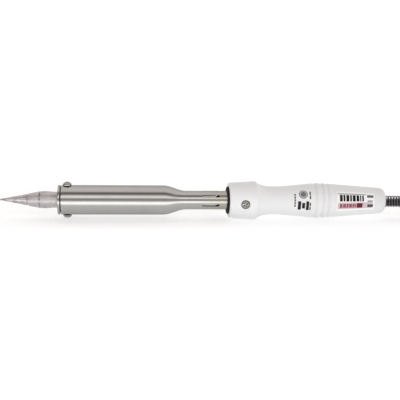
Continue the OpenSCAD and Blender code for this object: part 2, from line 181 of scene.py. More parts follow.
def hank_route():
    """Five turns: out and back on the floor, twice in the second layer, once on top."""
    turns = [(TURN_OUTER, LAYERS[0]), (TURN_INNER, LAYERS[0]), (TURN_INNER, LAYERS[1]),
             (TURN_OUTER, LAYERS[1]), (TURN_INNER, LAYERS[2])]
    points = []
    for i, (r, z) in enumerate(turns):
        points += hank_run(r, z, 1, -HANK_HALF, HANK_HALF)
        points += hank_bend(1, r, r, z, z)
        points += hank_run(r, z, -1, HANK_HALF, -HANK_HALF)
        if i < len(turns) - 1:
            points += hank_bend(-1, r, turns[i + 1][0], z, turns[i + 1][1])
    last = hank_bend(-1, TURN_INNER, TURN_INNER, LAYERS[2], CORD_END_ROUTE[0][2], upto=112, steps=6)
    return points + last


HANK_ENTRY = (367.5, -19.6, 2.3)
CORD_POINTS = CORD_ROUTE + [HANK_ENTRY] + hank_route() + CORD_END_ROUTE
CORD_LINE = smooth_line([spot(*p) for p in CORD_POINTS], 5)
CORD_LENGTH = sum((b - a).length for a, b in zip(CORD_LINE, CORD_LINE[1:]))


def curve_piece(name, points, radius, resolution=6, caps=True):
    """Round wire or cord along a list of points."""
    data = bpy.data.curves.new(name, "CURVE")
    data.dimensions = "3D"
    data.bevel_depth = radius
    data.bevel_resolution = resolution
    data.use_fill_caps = caps
    line = data.splines.new("POLY")
    line.points.add(len(points) - 1)
    for at, p in zip(line.points, points):
        at.co = (*p, 1)
    line.use_smooth = True
    piece = bpy.data.objects.new(name, data)
    bpy.context.scene.collection.objects.link(piece)
    return piece


def finish_piece(piece, body, slot, material, *nodes):
    """Give a piece its material, its body and the CAD nodes that it stands for; the slot argument is not used.
    """
    if material is not None:
        piece.data.materials.clear()
        piece.data.materials.append(material)
    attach(piece, body)
    if nodes:
        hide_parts(*nodes)
    return piece


# ------------------------------------------------------------------ material building
class Look:
    """One procedural material: a Principled shader and short calls for the nodes that feed it."""

    def __init__(self, name, color, roughness, metallic=0.0, **fixed):
        self.material = bpy.data.materials.new(name)
        self.material.use_nodes = True
        self.tree = self.material.node_tree
        self.shader = self.tree.nodes["Principled BSDF"]
        self.set("Base Color", (*color, 1))
        self.set("Roughness", roughness)
        self.set("Metallic", metallic)
        for key, value in fixed.items():
            self.set(key.replace("_", " "), value)
        self.coords = self.tree.nodes.new("ShaderNodeTexCoord").outputs["Object"]

    def set(self, socket, value):
        self.shader.inputs[socket].default_value = value

    def plug(self, value, socket):
        """Link a socket, or set a plain value."""
        if isinstance(value, bpy.types.NodeSocket):
            self.tree.links.new(value, socket)
        else:
            socket.default_value = value

    def math(self, kind, a, b=0.0, c=0.0, clamp=False):
        node = self.tree.nodes.new("ShaderNodeMath")
        node.operation = kind
        node.use_clamp = clamp
        for value, socket in zip((a, b, c), node.inputs):
            self.plug(value, socket)
        return node.outputs[0]

    def scaled(self, scale):
        node = self.tree.nodes.new("ShaderNodeMapping")
        self.plug(self.coords, node.inputs["Vector"])
        node.inputs["Scale"].default_value = scale
        return node.outputs["Vector"]

    def noise(self, scale, detail=4.0, rough=0.55, stretch=(1, 1, 1)):
        node = self.tree.nodes.new("ShaderNodeTexNoise")
        self.plug(self.scaled(stretch), node.inputs["Vector"])
        node.inputs["Scale"].default_value = scale
        node.inputs["Detail"].default_value = detail
        node.inputs["Roughness"].default_value = rough
        return node.outputs["Fac"]

    def voronoi(self, scale):
        node = self.tree.nodes.new("ShaderNodeTexVoronoi")
        self.plug(self.coords, node.inputs["Vector"])
        node.inputs["Scale"].default_value = scale
        return node.outputs["Distance"]

    def remap(self, value, low, high, out_low, out_high, smooth=False):
        node = self.tree.nodes.new("ShaderNodeMapRange")
        if smooth:
            node.interpolation_type = "SMOOTHSTEP"
        for v, socket in zip((value, low, high, out_low, out_high), node.inputs):
            self.plug(v, socket)
        return node.outputs[0]

    def blend(self, fac, a, b):
        node = self.tree.nodes.new("ShaderNodeMix")
        node.data_type = "RGBA"
        self.plug(fac, node.inputs[0])
        for value, socket in ((a, node.inputs[6]), (b, node.inputs[7])):
            self.plug(value if isinstance(value, bpy.types.NodeSocket) else (*value, 1), socket)
        return node.outputs[2]

    def axis(self, name):
        """One object coordinate, in metres: x, y or z."""
        node = self.tree.nodes.new("ShaderNodeSeparateXYZ")
        self.plug(self.coords, node.inputs[0])
        return node.outputs["xyz".index(name)]

    def bump(self, height, strength, distance):
        node = self.tree.nodes.new("ShaderNodeBump")
        node.inputs["Strength"].default_value = strength
        node.inputs["Distance"].default_value = distance
        self.plug(height, node.inputs["Height"])
        self.plug(node.outputs["Normal"], self.shader.inputs["Normal"])

    def color(self, value):
        self.plug(value, self.shader.inputs["Base Color"])

    def rough(self, value):
        self.plug(value, self.shader.inputs["Roughness"])


def metal(name, color, dark, roughness, grain=(1, 1, 1), grain_scale=900.0, stain=0.35, bump=0.05):
    """Metal with fine working marks, cloudy staining and a varying polish."""
    look = Look(name, color, roughness, metallic=1.0)
    marks = look.noise(grain_scale, 3, 0.6, grain)
    cloud = look.noise(60, 5, 0.6)
    look.color(look.blend(look.remap(cloud, 0.42, 0.72, 0, stain), color, dark))
    look.rough(look.math("ADD", look.remap(marks, 0.3, 0.7, roughness * 0.75, roughness * 1.3),
                         look.remap(cloud, 0.4, 0.7, 0, roughness * 0.35)))
    look.bump(marks, bump, 0.0001)
    return look.material


def plastic(name, color, roughness, speck=0.06, bump=0.08, scale=700.0, **fixed):
    """Moulded plastic or rubber with a faint orange peel and a slight unevenness of tone."""
    look = Look(name, color, roughness, **fixed)
    darker = tuple(c * (1 - speck) for c in color)
    look.color(look.blend(look.remap(look.noise(35, 4, 0.6), 0.35, 0.7, 0, 1), color, darker))
    peel = look.noise(scale, 3, 0.5)
    look.rough(look.remap(peel, 0.3, 0.7, roughness * 0.9, roughness * 1.12))
    look.bump(peel, bump, 0.00012)
    return look.material


def stainless():
    """Polished drawn tube: fine lengthwise and ring marks, heat tint on the neck, and painted shade in the
    slots and in the gap behind the collar.
    """
    base, mauve, shade_black = (0.444, 0.446, 0.433), (0.412, 0.402, 0.395), (0.02, 0.02, 0.02)
    look = Look("stainless", base, 0.16, metallic=1.0, Specular_Tint=(0.6, 0.6, 0.6, 1))
    rings = look.noise(1.0, 3, 0.6, (2600, 160, 160))
    streaks = look.noise(1.0, 3, 0.6, (25, 1500, 1500))
    cloud = look.noise(45, 5, 0.6)
    x = look.axis("x")
    up = look.math("SUBTRACT", look.axis("z"), AXIS_Z * MM)
    neck = look.remap(x, spot(133).x, spot(156).x, 0, 1, smooth=True)
    mottle = look.noise(1.0, 4, 0.65, (900, 420, 420))
    tint = look.math("MULTIPLY", neck, look.remap(mottle, 0.35, 0.62, 0.35, 1.0))
    colour = look.blend(look.remap(cloud, 0.4, 0.7, 0, 0.6), base, mauve)
    colour = look.blend(tint, colour, (0.402, 0.396, 0.329))
    # Painted shade: everything inside the neck's outer radius (the slots' cut walls, the neck's inside, the
    # collar's bore) and the floor of the gap behind the collar's flange are darkened to near black
    y = look.axis("y")
    r = look.math("SQRT", look.math("ADD", look.math("MULTIPLY", y, y), look.math("MULTIPLY", up, up)))
    slot_wall_shade = look.remap(r, (NECK_R - 0.2) * MM, (NECK_R - 0.06) * MM, 1, 0)
    gap_shade = look.math("ABSOLUTE", look.math("SUBTRACT", x, spot(BARREL_FRONT - 0.37).x))
    gap_shade = look.math("MULTIPLY", look.remap(gap_shade, 0.00034, 0.00044, 1, 0),
                      look.remap(r, (BARREL_R - 0.35) * MM, (BARREL_R - 0.2) * MM, 1, 0))
    # Both painted shade masks together; they also make the surface rougher
    painted_shade = look.math("MAXIMUM", slot_wall_shade, gap_shade)
    look.color(look.blend(painted_shade, colour, shade_black))
    polish = look.math("ADD", look.remap(rings, 0.3, 0.7, 0.10, 0.17), look.remap(cloud, 0.4, 0.7, 0, 0.05))
    polish = look.math("ADD", polish, look.math("MULTIPLY", painted_shade, 0.4))
    look.rough(look.math("ADD", polish, look.math("MULTIPLY", tint, 0.12)))
    wave = look.noise(1.0, 2, 0.5, (55, 150, 150))
    marks = look.math("ADD", rings, look.math("MULTIPLY", streaks, 0.7))
    look.bump(look.math("ADD", marks, look.math("MULTIPLY", wave, 3.0)), 0.05, 0.00008)
    return look.material


def plated_tip():
    """Iron plating: a grainy satin body, and a smoother cone worn dark in patches."""
    base, dark = (0.549, 0.518, 0.524), (0.244, 0.226, 0.226)
    look = Look("plated_tip", base, 0.34, metallic=1.0)
    grain = look.noise(1500, 4, 0.65)
    turned = look.noise(1.0, 2, 0.5, (2400, 60, 60))
    x = look.axis("x")
    cone = look.remap(x, spot(15).x, spot(20).x, 1, 0, smooth=True)
    patches = look.remap(look.noise(260, 4, 0.6), 0.42, 0.62, 0, 1)
    worn = look.math("MULTIPLY", patches, look.remap(cone, 0, 1, 0.3, 0.75))
    colour = look.blend(worn, base, dark)
    flecks = look.remap(look.noise(900, 3, 0.6), 0.60, 0.72, 0, 1)
    colour = look.blend(look.math("MULTIPLY", flecks, 0.5), colour, (0.85, 0.83, 0.83))
    # Edge of the plating
    edge = look.math("ABSOLUTE", look.math("SUBTRACT", x, spot(PLATING_EDGE).x))
    ring = look.remap(edge, 0.0003, 0.0006, 1, 0, smooth=True)
    broken = look.math("MULTIPLY", ring, look.remap(look.noise(420, 2, 0.5), 0.42, 0.62, 0.1, 0.8))
    look.color(look.blend(broken, colour, (0.03, 0.03, 0.03)))
    satin = look.remap(grain, 0.3, 0.7, 0.38, 0.54)
    look.rough(look.math("SUBTRACT", satin, look.math("MULTIPLY", cone, 0.17)))
    look.bump(look.math("ADD", grain, look.math("MULTIPLY", turned, 0.8)), 0.25, 0.00012)
    return look.material


def white_plastic():
    """Satin white moulding with faint handling marks, and painted shade darkening the ring grooves."""
    base = (0.778, 0.788, 0.791)
    look = Look("white_plastic", base, 0.42, Specular_IOR_Level=0.4)
    cloud = look.noise(28, 4, 0.6)
    colour = look.blend(look.remap(cloud, 0.4, 0.75, 0, 1), base, (0.750, 0.760, 0.763))
    x = look.axis("x")
    # Painted shade: the base colour is darkened across each ring groove, where shade falls in the grooves
    groove_shade = 0.0
    for groove in GROOVES:
        away = look.math("ABSOLUTE", look.math("SUBTRACT", x, spot(groove).x))
        groove_shade = look.math("MAXIMUM", groove_shade, look.remap(away, 0, GROOVE_HALF * MM, 1, 0, smooth=True))
    look.color(look.blend(look.math("MULTIPLY", groove_shade, 0.5), colour, (0.67, 0.677, 0.677)))
    peel = look.noise(420, 3, 0.5)
    scuffs = look.noise(1.0, 4, 0.7, (90, 520, 520))
    look.rough(look.remap(scuffs, 0.4, 0.7, 0.38, 0.5))
    look.bump(look.math("ADD", peel, look.math("MULTIPLY", scuffs, 0.4)), 0.06, 0.0002)
    return look.material


def mica():
    look = Look("mica", (0.60, 0.50, 0.30), 0.3, Specular_IOR_Level=0.6)
    flakes = look.voronoi(450)
    look.color(look.blend(look.remap(flakes, 0.1, 0.6, 0, 1), (0.66, 0.57, 0.36), (0.42, 0.33, 0.17)))
    look.bump(flakes, 0.2, 0.0002)
    return look.material


MATERIALS = {
    "plated_tip": plated_tip(),
    "stainless": stainless(),
    "plated_screw": metal("plated_screw", (0.366, 0.360, 0.335), (0.195, 0.189, 0.171), 0.2, stain=0.5),
    "inner_steel": metal("inner_steel", (0.60, 0.58, 0.54), (0.36, 0.30, 0.22), 0.3, stain=0.8),
    "mica": mica(),
    "resistance_wire": metal("resistance_wire", (0.34, 0.32, 0.31), (0.15, 0.13, 0.12), 0.45),
    "ceramic": plastic("ceramic", (0.92, 0.91, 0.87), 0.6, speck=0.14, bump=0.25, scale=1500),
    "black_phenolic": plastic("black_phenolic", (0.012, 0.012, 0.012), 0.7, speck=0.3, Specular_IOR_Level=0.15),
    "white_plastic": white_plastic(),
    "brass": metal("brass", (0.78, 0.60, 0.28), (0.45, 0.30, 0.12), 0.25),
    "brown_insulation": plastic("brown_insulation", (0.16, 0.06, 0.025), 0.35),
    "blue_insulation": plastic("blue_insulation", (0.04, 0.13, 0.42), 0.35),
    "cord_jacket": plastic("cord_jacket", (0.013, 0.013, 0.014), 0.42, speck=0.3, bump=0.15),
    "spring_steel": metal("spring_steel", (0.134, 0.134, 0.138), (0.049, 0.049, 0.049), 0.3),
    "tie_plastic": plastic("tie_plastic", (0.02, 0.02, 0.022), 0.4, speck=0.25),
    "plug_rubber": plastic("plug_rubber", (0.014, 0.014, 0.015), 0.5, speck=0.3, bump=0.2, scale=900),
    "brass_pin": metal("brass_pin", (0.72, 0.70, 0.65), (0.50, 0.44, 0.34), 0.18),
}

# ------------------------------------------------------------------ the cord
cord = curve_piece("mains_cord", CORD_LINE, CORD_D / 2 * MM, 8)
finish_piece(cord, "iron", "cord_jacket", MATERIALS["cord_jacket"], "cord", "cord_hank", "cord_end")


def tail_line():
    """The cord inside the handle and the guard, lying on the guard's lower side."""
    route = [Vector((a, 0, z)) for a, z in ((JACKET_END, AXIS_Z), (232, AXIS_Z), (244, AXIS_Z),
                                            (252, AXIS_Z - 0.8), (260, AXIS_Z - CORD_DROP + 0.3))]
    for s in [268, 274, 280, 286, 292, 298, GUARD_END]:
        centre, up = droop(s)
        route.append(centre - CORD_DROP * up)
    return smooth_line([spot(*p) for p in route], 6)


cord_tail = curve_piece("cord_in_guard", tail_line(), CORD_D / 2 * MM, 8)
finish_piece(cord_tail, "iron", "cord_jacket", MATERIALS["cord_jacket"], "cord_tail")


# ------------------------------------------------------------------ mesh building
def mesh_piece(name, vertices, faces, sharp=35):
    data = bpy.data.meshes.new(name)
    data.from_pydata(vertices, [], faces)
    work = bmesh.new()
    work.from_mesh(data)
    bmesh.ops.recalc_face_normals(work, faces=work.faces)
    if work.calc_volume(signed=True) < 0:
        bmesh.ops.reverse_faces(work, faces=work.faces)
    work.to_mesh(data)
    work.free()
    piece = bpy.data.objects.new(name, data)
    bpy.context.scene.collection.objects.link(piece)
    shade(piece, sharp)
    return piece


def shade(piece, sharp=35):
    piece.data.shade_smooth()
    piece.data.set_sharp_from_angle(angle=math.radians(sharp))


def lathe(name, outline, segments=160, closed=False, sharp=35, place=None):
    """Turn an outline of (distance, radius) points, in mm, about the iron's axis.
    A closed outline makes a ring or a shell; an open one ends on the axis."""
    place = place or (lambda a, y, z: spot(a, y, AXIS_Z + z))
    vertices, rows = [], []
    for a, r in outline:
        if r < 1e-6:
            rows.append([len(vertices)] * segments)
            vertices.append(place(a, 0, 0))
        else:
            rows.append(list(range(len(vertices), len(vertices) + segments)))
            for k in range(segments):
                angle = 2 * math.pi * k / segments
                vertices.append(place(a, r * math.cos(angle), r * math.sin(angle)))
    faces = []
    pairs = list(zip(rows, rows[1:] + ([rows[0]] if closed else [])))
    for low, high in pairs:
        for k in range(segments):
            n = (k + 1) % segments
            corners = list(dict.fromkeys((low[k], low[n], high[n], high[k])))
            if len(corners) > 2:
                faces.append(corners)
    return mesh_piece(name, vertices, faces, sharp)


def rounded(outline, radius, steps=4):
    """An outline whose corners are rounded: radius is one value, or a list with one for each point."""
    radii = radius if isinstance(radius, list) else [radius] * len(outline)
    out = [outline[0]]
    for i in range(1, len(outline) - 1):
        p, q, s = (Vector(outline[j]) for j in (i - 1, i, i + 1))
        r = min(radii[i], (p - q).length * 0.45, (s - q).length * 0.45)
        if r < 1e-4:
            out.append(outline[i])
            continue
        start, end = q + (p - q).normalized() * r, q + (s - q).normalized() * r
        for t in span(0, 1, steps):
            point = start * (1 - t) ** 2 + q * 2 * t * (1 - t) + end * t * t
            out.append((point.x, point.y))
    return out + [outline[-1]]


def cut(piece, cutter):
    """Take the cutter's shape out of the piece."""
    modifier = piece.modifiers.new("cut", "BOOLEAN")
    modifier.operation = "DIFFERENCE"
    modifier.solver = "EXACT"
    modifier.object = cutter
    apply_modifiers(piece)
    bpy.data.objects.remove(cutter)


def apply_modifiers(piece):
    bpy.context.view_layer.update()
    made = piece.evaluated_get(bpy.context.evaluated_depsgraph_get())
    piece.modifiers.clear()
    old = piece.data
    piece.data = bpy.data.meshes.new_from_object(made)
    piece.data.name = piece.name
    bpy.data.meshes.remove(old)


def radial(at, side):
    """Place for shapes drawn along a radius of the iron: side 0 is -Y and 90 is +Z, in degrees."""
    angle = math.radians(side)
    out = Vector((0, -math.cos(angle), math.sin(angle)))
    across = Vector((0, math.sin(angle), math.cos(angle)))

    def place(h, x, y):
        p = out * h + across * y
        return spot(at + x, p.y, AXIS_Z + p.z)
    return place


# ------------------------------------------------------------------ the tip
CONE_L, TIP_CROWN, TIP_R, SHANK_R, SHANK_END = 18.1, 29.6, 5.95, 5.5, 104.0
FLARE_R = 4.25


def make_tip():
    nose = [(0, 0), (0.02, 0.12), (0.12, 0.27), (0.3, 0.38)]
    cone = [(a, mix(0.38, 3.95, (a - 0.3) / (CONE_L - 0.3))) for a in span(1.2, CONE_L - 0.1, 14)]
    groove = [(CONE_L + 0.05, 3.93), (CONE_L + 0.12, 3.8), (CONE_L + 0.2, 3.5), (CONE_L + 0.68, 3.5),
              (CONE_L + 0.76, 3.75), (CONE_L + 0.8, FLARE_R - 0.2), (CONE_L + 0.9, FLARE_R - 0.09),
              (CONE_L + 1.1, FLARE_R - 0.04)]
    flare = [(mix(CONE_L + 1.3, TIP_CROWN, t), mix(FLARE_R, TIP_R, math.sin(math.pi / 2 * t) * 0.55 + t * 0.45))
             for t in span(0.05, 1, 16)]
    neck = [(mix(TIP_CROWN, COLLAR_FRONT - 1.5, t), mix(TIP_R, SHANK_R, ease(t))) for t in span(0.06, 1, 14)]
    shank = [(60, SHANK_R), (SHANK_END - 1, SHANK_R), (SHANK_END, SHANK_R - 1), (SHANK_END, 0)]
    return lathe("tip_bit", nose + cone + groove + flare + neck + shank, 128, sharp=40)


finish_piece(make_tip(), "tip", "plated_tip", MATERIALS["plated_tip"], "tip")

# ------------------------------------------------------------------ barrel
SHOULDER_START, SHOULDER_END, BARREL_END = 111.3, 127.6, 174.0
SCREW_AT = COLLAR_FRONT + 6.4
SLOT_START, SLOT_L, SLOT_W, SLOT_TURN, SLOT_COUNT = 138.2, 12.0, 1.8, 8.4, 6


def barrel_outline():
    outside = [(BARREL_FRONT + 0.02, BARREL_R - 0.3), (BARREL_FRONT, BARREL_R - 0.18),
               (BARREL_FRONT + 0.05, BARREL_R - 0.06), (BARREL_FRONT + 0.2, BARREL_R)]
    outside += [(a, BARREL_R) for a in span(44, SHOULDER_START - 1, 10)]
    outside += [(mix(SHOULDER_START, SHOULDER_END, t), mix(BARREL_R, NECK_R, ease(t))) for t in span(0, 1, 28)]
    outside += [(a, NECK_R) for a in span(SHOULDER_END + 2, BARREL_END, 8)]
    inside = [(a, r - BARREL_WALL) for a, r in reversed(outside[3:])]
    return outside + inside


def make_barrel():
    barrel = lathe("barrel_tube", barrel_outline(), 192, closed=True, sharp=40)
    for side in (90, -90):
        cut(barrel, lathe("cutter", [(5, 0), (5, 1.85), (12, 1.85), (12, 0)], 32, place=radial(SCREW_AT, side)))
    for i in range(SLOT_COUNT):
        side = 30 + SLOT_TURN + i * 360 / SLOT_COUNT
        cut(barrel, slot_cutter(radial(SLOT_START, side)))
    shade(barrel, 40)
    return barrel


def slot_cutter(place):
    """Slot outline with small corner radii, run outwards through the wall."""
    half, corner, ring = SLOT_W / 2, 0.45, []
    for x, y, start in ((SLOT_L - corner, half - corner, 0), (corner, half - corner, 90),
                        (corner, corner - half, 180), (SLOT_L - corner, corner - half, 270)):
        for t in span(start, start + 90, 4):
            ring.append((x + corner * math.cos(math.radians(t)), y + corner * math.sin(math.radians(t))))
    vertices = [place(h, x, y) for h in (4.5, 8.5) for x, y in ring]
    n = len(ring)
    faces = [list(range(n)), list(range(2 * n - 1, n - 1, -1))]
    faces += [[i, n + i, n + (i + 1) % n, (i + 1) % n] for i in range(n)]
    return mesh_piece("cutter", vertices, faces)


finish_piece(make_barrel(), "iron", "stainless", MATERIALS["stainless"], "barrel")


def make_collar():
    inner = SHANK_R + 0.05
    flange_r = BARREL_R - 0.05
    gap = COLLAR_FRONT + 1.55
    outline = [(COLLAR_FRONT + 0.35, inner), (COLLAR_FRONT, inner + 0.3), (COLLAR_FRONT, flange_r - 0.5),
               (COLLAR_FRONT + 0.08, flange_r - 0.2), (COLLAR_FRONT + 0.3, flange_r - 0.04),
               (COLLAR_FRONT + 0.6, flange_r), (gap - 0.2, flange_r), (gap - 0.04, flange_r - 0.12),
               (gap, flange_r - 0.3), (gap + 0.02, 8.6), (COLLAR_FRONT + 2.5, 8.6), (COLLAR_FRONT + 2.6, 9.5),
               (COLLAR_FRONT + 13, 9.5),
               (COLLAR_FRONT + 13, inner)]
    collar = lathe("front_collar", outline, 160, closed=True, sharp=40)
    for side in (90, -90):
        cut(collar, lathe("cutter", [(4, 0), (4, 1.55), (12, 1.55), (12, 0)], 32, place=radial(SCREW_AT, side)))
    shade(collar, 40)
    return collar


finish_piece(make_collar(), "iron", "stainless", MATERIALS["stainless"], "tip_collar")

WASHER_FRONT, WASHER_R = 155.9, 9.5


def make_heat_washer():
    """Black insulating collar round the neck, standing a little out of the handle's mouth."""
    inner = NECK_R + 0.1
    outline = [(WASHER_FRONT + 0.3, inner), (WASHER_FRONT, inner + 0.3), (WASHER_FRONT, WASHER_R - 0.5),
               (WASHER_FRONT + 0.08, WASHER_R - 0.2), (WASHER_FRONT + 0.3, WASHER_R),
               (WASHER_BACK, WASHER_R), (WASHER_BACK, inner)]
    return lathe("heat_collar", outline, 128, closed=True, sharp=40)


finish_piece(make_heat_washer(), "iron", "black_phenolic", MATERIALS["black_phenolic"], "heat_washer")

# ------------------------------------------------------------------ pan-head screws
M3_R, PAN_R, PAN_H = 1.5, 3.0, 2.3


def pan_screw(name, place, thread_l, turn):
    """Cross-recess pan head above a rolled thread. place takes height, and two directions across."""
    head = [(0, 0), (0, PAN_R - 0.12), (0.1, PAN_R), (0.6, PAN_R)]
    head += [(0.6 + (PAN_H - 0.6) * math.sin(math.radians(t)), PAN_R * math.cos(math.radians(t)))
             for t in range(8, 90, 8)] + [(PAN_H, 0)]
    screw = lathe(name, head, 64, place=place, sharp=30)
    for k in (0, 90):
        angle = math.radians(turn + k)
        u, v = (math.cos(angle), math.sin(angle)), (-math.sin(angle), math.cos(angle))
        corners = []
        for h, long, wide in ((PAN_H - 1.35, 0.7, 0.3), (PAN_H + 0.4, 2.1, 0.42)):
            for x, y in ((-long, -wide), (long, -wide), (long, wide), (-long, wide)):
                corners.append(place(h, x * u[0] + y * v[0], x * u[1] + y * v[1]))
        cut(screw, mesh_piece("cutter", corners, [[0, 1, 2, 3], [7, 6, 5, 4], [0, 4, 5, 1], [1, 5, 6, 2],
                                                  [2, 6, 7, 3], [3, 7, 4, 0]]))
    thread = [(0.05, 0), (0.05, M3_R)]
    for i in range(int(thread_l / 0.5 * 4)):
        h = -0.125 * i
        if h > -thread_l + 0.4:
            thread.append((h, M3_R - 0.11 * (1 + math.cos(math.pi * i / 2))))
    thread += [(-thread_l + 0.2, M3_R - 0.3), (-thread_l, M3_R - 0.5), (-thread_l, 0)]
    shaft = lathe("thread", thread, 40, place=place, sharp=50)
    join(screw, shaft)
    shade(screw, 30)
    return screw


def join(piece, *others):
    """Merge other meshes into piece."""
    work = bmesh.new()
    work.from_mesh(piece.data)
    for other in others:
        work.from_mesh(other.data)
        bpy.data.objects.remove(other)
    work.to_mesh(piece.data)
    work.free()


def lifted(place, lift):
    return lambda h, x, y: place(h + lift, x, y)


for which, side in (("upper", 90), ("lower", -90)):
    seat = BARREL_R + 0.1
    made = pan_screw(f"tip_screw_{which}_detail", lifted(radial(SCREW_AT, side), seat),
                     seat - SHANK_R - 0.2, 35)
    finish_piece(made, f"tip_screw_{which}", "plated_screw", MATERIALS["plated_screw"], f"tip_screw_{which}")

# ------------------------------------------------------------------ handle
SHOULDER_AT = HANDLE_FRONT + 18.6
WAIST_FRONT, WAIST_BACK = HANDLE_FRONT + 32.5, HANDLE_FRONT + 34.5
CREST_AT, TAPER_AT = HANDLE_FRONT + 61.6, HANDLE_FRONT + 72
WAIST_R, GRIP_R, REAR_R, HEAD_R = 9.975, 12.4, 9.1, 13.55
HEAD_FRONT_R = HEAD_R - 1.1
REAR_ROUND = 3.4
SOCKET_R, SOCKET_END, CAVITY_R, CAVITY_END = 9.8, 177.0, 7.5, 262.0
HANDLE_SCREW_AT = 167.6


def body_r(a):
    if a < SHOULDER_AT:
        return mix(HEAD_FRONT_R, HEAD_R, (a - HANDLE_FRONT) / (SHOULDER_AT - HANDLE_FRONT))
    if a < WAIST_FRONT:
        return WAIST_R + (HEAD_R - WAIST_R) * (1 - (a - SHOULDER_AT) / (WAIST_FRONT - SHOULDER_AT)) ** 3
    if a < WAIST_BACK:
        return WAIST_R
    if a < CREST_AT:
        return mix(WAIST_R, GRIP_R, ((a - WAIST_BACK) / (CREST_AT - WAIST_BACK)) ** 1.2)
    if a < TAPER_AT:
        return mix(GRIP_R, GRIP_R - 0.45, ((a - CREST_AT) / (TAPER_AT - CREST_AT)) ** 2)
    return mix(GRIP_R - 0.45, REAR_R, (a - TAPER_AT) / (HANDLE_END - 3 - TAPER_AT))


def handle_r(a):
    dips = sum(GROOVE_DEPTH * (1 + math.cos(math.pi * (a - g) / GROOVE_HALF)) / 2
               for g in GROOVES if abs(a - g) < GROOVE_HALF)
    return body_r(a) - dips


def handle_outline():
    front = [(HANDLE_FRONT + 0.25, SOCKET_R), (HANDLE_FRONT + 0.06, SOCKET_R + 0.1),
             (HANDLE_FRONT, SOCKET_R + 0.3)]
    front += [(HANDLE_FRONT + 1.3 * (1 - math.cos(math.radians(t))),
               HEAD_FRONT_R - 1.2 * (1 - math.sin(math.radians(t)))) for t in range(0, 91, 15)]
    head = [(a, handle_r(a)) for a in span(HANDLE_FRONT + 2, SHOULDER_AT - 1.4, 8)]
    corner = rounded([(SHOULDER_AT - 1.4, handle_r(SHOULDER_AT - 1.4)), (SHOULDER_AT + 0.25, HEAD_R + 0.02),
                      (SHOULDER_AT + 1.4, handle_r(SHOULDER_AT + 1.4))], 1.6, 8)[1:]
    waist = [(a, handle_r(a)) for a in span(SHOULDER_AT + 1.8, WAIST_FRONT, 22) + span(WAIST_BACK, 216, 24)]
    grip = [(a, handle_r(a)) for a in span(216.3, 228.6, 76)]
    rear_at = HANDLE_END - REAR_ROUND
    rear = [(a, handle_r(a)) for a in span(229.4, rear_at - 0.6, 22)]
    end = [(HANDLE_END - REAR_ROUND * (1 - math.sin(math.radians(t))),
            handle_r(rear_at) - REAR_ROUND * 0.95 * (1 - math.cos(math.radians(t)))) for t in range(0, 91, 9)]
    hole = [(HANDLE_END, REAR_HOLE_R + 0.5), (HANDLE_END - 0.12, REAR_HOLE_R + 0.15),
            (HANDLE_END - 0.5, REAR_HOLE_R),
            (CAVITY_END, REAR_HOLE_R), (CAVITY_END, CAVITY_R), (SOCKET_END + 2, CAVITY_R),
            (SOCKET_END, SOCKET_R)]
    return front + head + corner + waist + grip + rear + end + hole


def make_handle():
    handle = lathe("handle_moulding", handle_outline(), 224, closed=True, sharp=40)
    seat = body_r(HANDLE_SCREW_AT) - 1.7
    top = body_r(HANDLE_SCREW_AT)
    for side in (0, 180):
        bore = [(6, 0), (6, 1.7), (seat, 1.7), (seat, 3.15), (top - 0.15, 3.15),
                (top - 0.05, 3.2), (top + 0.15, 3.4),
                (top + 3, 3.6), (top + 3, 0)]
        cut(handle, lathe("cutter", bore, 64, place=radial(HANDLE_SCREW_AT, side)))
    shade(handle, 40)
    return handle


finish_piece(make_handle(), "iron", "white_plastic", MATERIALS["white_plastic"], "handle")


def make_handle_screws():
    seat = body_r(HANDLE_SCREW_AT) - 1.7
    near, far = (pan_screw(f"handle_screw_{i}", lifted(radial(HANDLE_SCREW_AT, side), seat),
                           seat - NECK_R - 0.3, 20) for i, side in enumerate((0, 180)))
    join(near, far)
    near.name = "handle_screws_detail"
    shade(near, 30)
    return near


finish_piece(make_handle_screws(), "iron", "plated_screw", MATERIALS["plated_screw"], "handle_screws")


# ------------------------------------------------------------------ spring guard
def guard_line(steps=28):
    turns = int((GUARD_END - GUARD_START - GUARD_WIRE) / GUARD_PITCH)
    coil_r = (GUARD_D - GUARD_WIRE) / 2
    points = []
    for i in range(turns * steps + 1):
        centre, up = droop(GUARD_START + GUARD_WIRE / 2 + GUARD_PITCH * i / steps)
        angle = 2 * math.pi * i / steps
        p = centre - GUARD_DROP * up + coil_r * (math.cos(angle) * up - math.sin(angle) * Vector((0, 1, 0)))
        points.append(spot(*p))
    return points


guard = curve_piece("spring_guard", guard_line(), GUARD_WIRE / 2 * MM, 3)
finish_piece(guard, "iron", "spring_steel", MATERIALS["spring_steel"], "cord_guard")


# ------------------------------------------------------------------ printed patches
def patch(name, a_from, a_to, low, high, proud=0.12):
    """Thin film on the handle between two angles above -Y, with a UV map in millimetres: u along, v up."""
    us, vs = span(a_from, a_to, 48), span(low, high, 48)
    vertices, uvs = [], []
    for lift in (proud, 0.03):
        for a in us:
            for v in vs:
                angle = math.radians(v)
                r = handle_r(a) + lift
                vertices.append(spot(a, -r * math.cos(angle), AXIS_Z + r * math.sin(angle)))
                uvs.append((a - a_from, math.radians(v - low) * handle_r((a_from + a_to) / 2)))
    n, m = len(us), len(vs)
    faces = []
    for i in range(n - 1):
        for j in range(m - 1):
            a = i * m + j
            faces.append([a, a + m, a + m + 1, a + 1])
            faces.append([a + n * m, a + n * m + 1, a + n * m + m + 1, a + n * m + m])
    rim = [i * m for i in range(n)] + [(n - 1) * m + j for j in range(1, m)]
    rim += [i * m + m - 1 for i in range(n - 2, -1, -1)] + [j for j in range(m - 2, 0, -1)]
    for a, b in zip(rim, rim[1:] + rim[:1]):
        faces.append([a, b, b + n * m, a + n * m])
    piece = mesh_piece(name, vertices, faces, 40)
    layer = piece.data.uv_layers.new(name="print")
    for loop in piece.data.loops:
        layer.data[loop.index].uv = uvs[loop.vertex_index]
    return piece


